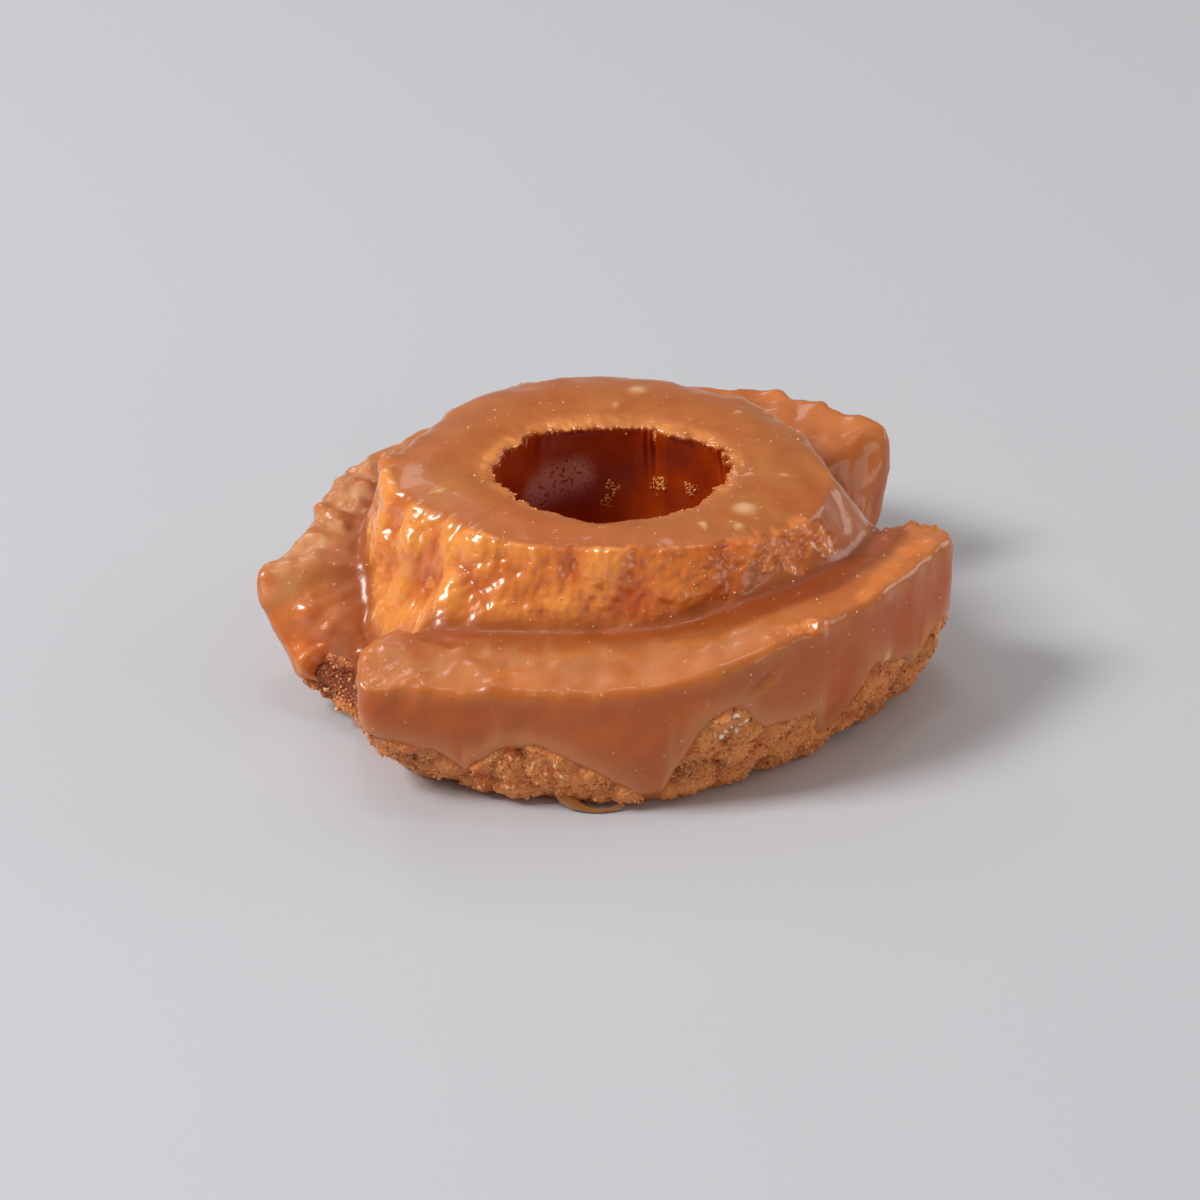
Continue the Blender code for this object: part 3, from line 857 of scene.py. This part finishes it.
STRAND = ((259.5, 40.0, 1.5), (262, 41.0, 0.9), (264.5, 41.5, 0.5), (268, 41.6, 0.35), (272, 40.6, 1.0))
strand = tube("syrup_strand", [round_point(*spot) for spot in STRAND], (1.2, 0.9, 0.45, 0.28, 0.3))

# %% [markdown]
# ## Materials
#
# A node tree is easier to read as arithmetic. The small class below wraps a socket, so that an expression
# such as `1 - mask * 0.5` adds the Math nodes for it.

# %% Sockets as numbers


class Sum:
    """A node socket that can be added, multiplied and so on, in a material's node tree."""

    def __init__(self, tree, socket):
        self.tree = tree
        self.socket = socket

    def make(self, kind, output=0, settings=None, **inputs):
        """Adds a node: its settings, then the values or links of its sockets, by name or as in0, in1."""
        node = self.tree.nodes.new(kind)
        for key, value in (settings or {}).items():
            setattr(node, key, value)
        for key, value in inputs.items():
            place = int(key[2:]) if key.startswith("in") and key[2:].isdigit() else key.replace("_", " ")
            if isinstance(value, Sum):
                self.tree.links.new(value.socket, node.inputs[place])
            else:
                node.inputs[place].default_value = value
        return Sum(self.tree, node.outputs[output])

    def math(self, operation, first, second=0.0):
        return self.make("ShaderNodeMath", settings={"operation": operation}, in0=first, in1=second)

    def __add__(self, other):
        return self.math("ADD", self, other)

    def __sub__(self, other):
        return self.math("SUBTRACT", self, other)

    def __mul__(self, other):
        return self.math("MULTIPLY", self, other)

    def __rsub__(self, other):
        return self.math("SUBTRACT", other, self)

    __radd__ = __add__
    __rmul__ = __mul__

    def ramp(self, low, high):
        """0 where this is at low, 1 where it is at high, straight between and clamped."""
        return self.make("ShaderNodeMapRange", in0=self, in1=low, in2=high)

    def mix(self, first, second):
        """The first colour where this is 0, the second where it is 1."""
        settings = {"data_type": "RGBA"}
        return self.make("ShaderNodeMix", output=2, settings=settings, in0=self, in6=first, in7=second)

    def noise(self, scale, detail=2.0, roughness=0.5):
        """Noise at this many cells a metre, read at this position."""
        inputs = {"Vector": self, "Scale": scale, "Detail": detail, "Roughness": roughness}
        return self.make("ShaderNodeTexNoise", **inputs)

    def spots(self, scale, size):
        """1 inside small round spots, one to a cell, and 0 outside them."""
        distance = self.make("ShaderNodeTexVoronoi", Vector=self, Scale=scale)
        return 1 - distance.ramp(size, size * 1.35)


def colour(red, green, blue):
    """A colour given as the eye sees it, from 0 to 255, as the linear numbers that a shader needs."""
    shown = np.array([red, green, blue]) / 255
    linear = np.where(shown <= 0.04045, shown / 12.92, ((shown + 0.055) / 1.055) ** 2.4)
    return (*linear.tolist(), 1.0)


def start_material(name):
    """A new material: its name, its Principled shader, and the place on the object to work from."""
    made = bpy.data.materials.new(name)
    made.use_nodes = True
    print("made the material", name)
    tree = made.node_tree
    place = Sum(tree, tree.nodes.new("ShaderNodeTexCoord").outputs["Object"])
    return made, tree.nodes["Principled BSDF"], place


def read(place, attribute):
    """A number that the mesh carries at each point."""
    return place.make("ShaderNodeAttribute", output=2, settings={"attribute_name": attribute})


def plug(shader, **inputs):
    """Sets or links the shader's sockets, by name."""
    for key, value in inputs.items():
        socket = shader.inputs[key.replace("_", " ")]
        if isinstance(value, Sum):
            value.tree.links.new(value.socket, socket)
        else:
            socket.default_value = value


def bump(place, height, distance):
    """Tilts the shading by a height, given in millimetres of depth."""
    return place.make("ShaderNodeBump", Distance=distance * MM, Height=height, Strength=1.0)


# %% [markdown]
# ## Caramel glaze
#
# Caramel glaze is sugar with air in it: light enters, spreads and comes out again warmer. So the shader
# scatters light under its surface. Thin glaze shows the golden dough, thick glaze is a milky tan, and in
# the hole the colour is painted dark red, as painted shade deep in the hole.

# %% The glaze's material


def glaze_material():
    made, shader, place = start_material("caramel_glaze")
    golden, throat, pooled_and_shade = (read(place, key) for key in ("golden", "throat", "pooled_and_shade"))
    relief, amber, bloom = (read(place, key) for key in ("relief", "amber", "bloom"))
    pale, wall = read(place, "pale"), read(place, "wall")
    cloud, broad = place.noise(180, 3.0), place.noise(55, 2.0)
    tan = cloud.ramp(0.3, 0.7).mix(colour(183, 98, 30), colour(200, 117, 50))
    tan = (broad.ramp(0.45, 0.7) * 0.5).mix(tan, colour(194, 88, 16))
    # The golden colour is darker in the recesses of the relief: painted shade, over the thin glaze's own
    # golden colour.
    thin = relief.ramp(-0.8, 0.6).mix(colour(212, 80, 12), colour(255, 160, 68))
    base = golden.mix(tan, thin)
    base = wall.mix(base, colour(196, 90, 10))
    # Painted shade over the pooled glaze's own darker colour: in the crack at the right, and low at the left
    # petal's end.
    base = pooled_and_shade.mix(base, colour(150, 66, 18))
    # Painted shade: the glaze in the hole is painted a darker red.
    base = throat.mix(base, cloud.ramp(0.35, 0.65).mix(colour(168, 52, 2), colour(192, 72, 6)))
    speckled = place.noise(1800, 2.0).ramp(0.36, 0.44)
    # Painted reflection: a pale, speckled patch on the hole's wall, where the glaze would mirror a bright
    # surface.
    base = (bloom * throat * speckled * 0.9).mix(base, colour(236, 176, 160))
    base = (amber * 0.8).mix(base, colour(226, 150, 44))
    specks = place.spots(430, 0.075) * (1 - throat)
    # Paler: the specks, the blisters and the glaze's lower edge in their own colour, plus the painted sheen
    # carried in pale.
    base = (specks * 0.5 + pale * 0.8).mix(base, colour(240, 190, 136))
    grain = place.noise(900, 4.0, 0.6)
    plug(shader, Base_Color=base, Roughness=0.31 + 0.1 * cloud - 0.13 * golden)
    plug(shader, Coat_Weight=0.3 + 0.65 * golden - 0.1 * throat - 0.25 * wall)
    plug(shader, Coat_Roughness=0.09, Coat_IOR=1.5)
    plug(shader, Subsurface_Weight=0.18, Subsurface_Scale=0.0018)
    plug(shader, Normal=bump(place, grain * (1 + 1.5 * golden), 0.06))
    shader.inputs["Subsurface Radius"].default_value = (1.0, 0.35, 0.12)
    return made


finish_piece(glaze, glaze_material())

# %% [markdown]
# ## Fried crust
#
# The mesh carries its own relief, and the material takes its colours from that: low places are painted
# darker, as painted shade in the cracks between the grains and in the torn holes.

# %% The crust's material


def crust_material():
    made, shader, place = start_material("fried_crust")
    relief = read(place, "relief")
    fine, mottled = place.noise(1500, 5.0, 0.65), place.noise(200, 3.0)
    # Low relief is painted darker: painted shade in the cracks between the grains; the fine noise is the
    # crust's own random tone.
    height = relief * 0.5 + fine * 0.8
    base = height.ramp(-0.1, 0.7).mix(colour(140, 52, 12), colour(240, 148, 76))
    base = (mottled.ramp(0.54, 0.66) * 0.75).mix(base, colour(212, 98, 20))
    flecks = place.noise(2400, 2.0).ramp(0.58, 0.68)
    base = (flecks * 0.75).mix(base, colour(246, 196, 136))
    # Painted shade: the deepest holes of the torn crust and the crust just under the glaze's edge are painted
    # dark.
    base = relief.ramp(-0.5, -1.8).mix(base, colour(128, 56, 14))
    sand = 1 - place.make("ShaderNodeTexVoronoi", Vector=place, Scale=2600.0)
    plug(shader, Base_Color=base, Roughness=0.72 - 0.25 * mottled)
    plug(shader, Normal=bump(place, fine + sand * 0.8, 0.24))
    plug(shader, Subsurface_Weight=0.08, Subsurface_Scale=0.001)
    shader.inputs["Subsurface Radius"].default_value = (1.0, 0.5, 0.25)
    return made


finish_piece(crust, crust_material())

# %% [markdown]
# ## The small things
#
# Crumbs are crust, each a little lighter or darker than the next, so their meshes carry one number for each
# stone. Bubbles are thin pale glaze, the strand is clear syrup, and the sugar is nearly white.

# %% Materials of the small things


def small_material(name, dark, light, rough, coat=0.0, even=False):
    made, shader, place = start_material(name)
    tone = place.noise(400) if even else read(place, "tone")
    plug(shader, Base_Color=tone.ramp(0.1, 0.9).mix(dark, light), Roughness=rough, Coat_Weight=coat)
    plug(shader, Coat_Roughness=0.08, Normal=bump(place, place.noise(2400, 3.0), 0.12))
    return made


finish_piece(crumbs, small_material("crumb", colour(176, 94, 42), colour(246, 186, 126), 0.65))
golden_crumb = small_material("golden_crumb", colour(224, 116, 40), colour(252, 180, 96), 0.35, 0.4)
finish_piece(rim_crumbs, golden_crumb)
finish_piece(bubbles, small_material("bubble", colour(220, 160, 112), colour(240, 198, 156), 0.25, 0.5))
finish_piece(sugar, small_material("sugar", colour(232, 222, 212), colour(252, 250, 246), 0.4))
finish_piece(strand, small_material("syrup", colour(150, 92, 30), colour(186, 124, 50), 0.12, 0.8, even=True))

# %% [markdown]
# ## Floor, light and camera
#
# The doughnut lies on a pale floor beside a large window on its left, which gives the caramel its bright
# broken highlights. One sun lamp would be simpler, but its highlights would be hard dots. So every light is
# a rectangle: the window, a wide dim ceiling with a small skylight in it, paler windows at the right and
# behind, and the warm light that comes back from the room at the right. A faint even world light fills what
# is left.

# %% Floor
VIEW_ELEVATION, VIEW_DISTANCE, VIEW_WIDTH = 30.0, 600.0, 183.0
VIEW_TARGET = (HOLE_AXIS[0] - 2.1, HOLE_AXIS[1] + 2.6, 10.0)
FLOOR_REACH = 3.0


def make_floor():
    """A flat square far larger than the view."""
    corners = FLOOR_REACH * np.array([(-1, -1, 0), (1, -1, 0), (1, 1, 0), (-1, 1, 0)])
    mesh = bpy.data.meshes.new("floor")
    mesh.from_pydata(corners.tolist(), [], [(0, 1, 2, 3)])
    floor = bpy.data.objects.new("floor", mesh)
    bpy.context.scene.collection.objects.link(floor)
    made, shader, place = start_material("pale_floor")
    plug(shader, Base_Color=colour(206, 210, 217), Roughness=0.55)
    mesh.materials.append(made)


make_floor()
print("the floor is", 2 * FLOOR_REACH, "m wide")

# %% [markdown]
# ## The lights
#
# A light's size sets how soft its shadows are and how wide its highlights. So each light is given by the
# direction and distance that it stands in, its width and its height. The key window is small enough for
# crisp highlights, and the others are wide or dim.

# %% Lights


def soft_light(name, azimuth, elevation, distance, width, height, power, tint):
    """A rectangular light, aimed at the doughnut. Azimuth 0 is behind it and 90 to its right, in degrees."""
    lamp = bpy.data.lights.new(name, "AREA")
    lamp.shape = "RECTANGLE"
    lamp.size, lamp.size_y, lamp.energy, lamp.color = width, height, power, tint
    made = bpy.data.objects.new(name, lamp)
    a, e = math.radians(azimuth), math.radians(elevation)
    way = np.array([math.sin(a) * math.cos(e), math.cos(a) * math.cos(e), math.sin(e)])
    made.location = way * distance
    made.rotation_euler = (math.pi / 2 - e, 0.0, math.pi - a)
    bpy.context.scene.collection.objects.link(made)
    print(name, "gives", power, "W from", distance, "m away")


soft_light("key_window", -104, 46, 1.5, 0.45, 0.5, 16.0, (1.0, 0.98, 0.96))
soft_light("ceiling", 10, 72, 1.6, 2.4, 1.8, 4.0, (1.0, 0.98, 0.95))
soft_light("skylight", 0, 84, 1.5, 0.3, 0.15, 1.0, (1.0, 0.98, 0.95))
soft_light("right_window", 68, 20, 1.5, 0.9, 0.5, 3.6, (1.0, 0.95, 0.9))
soft_light("bounce", 128, 14, 1.5, 0.8, 0.4, 2.4, (1.0, 0.84, 0.7))
soft_light("back_window", -24, 34, 1.6, 0.5, 0.32, 1.4, (1.0, 0.99, 0.97))

world = bpy.data.worlds.new("room")
bpy.context.scene.world = world
world.use_nodes = True
world.node_tree.nodes["Background"].inputs["Color"].default_value = (0.92, 0.87, 0.83, 1.0)
world.node_tree.nodes["Background"].inputs["Strength"].default_value = 0.24

# %% [markdown]
# ## The camera
#
# It looks down at the front from 60 cm away, as a person at the table would, and a long lens fills the frame.

# %% Camera
camera = bpy.data.objects.new("camera", bpy.data.cameras.new("camera"))
bpy.context.scene.collection.objects.link(camera)
tilt = math.radians(VIEW_ELEVATION)
back = np.array([0.0, -math.cos(tilt), math.sin(tilt)])
camera.location = (np.array(VIEW_TARGET) + back * VIEW_DISTANCE) * MM
camera.rotation_euler = (math.pi / 2 - tilt, 0.0, 0.0)
camera.data.sensor_width = 36.0
camera.data.lens = 36.0 * VIEW_DISTANCE / VIEW_WIDTH
camera.data.clip_start = 0.01
bpy.context.scene.camera = camera
bpy.context.scene.view_settings.view_transform = "Standard"
print("the camera sees", VIEW_WIDTH, "mm across from", VIEW_DISTANCE, "mm away")
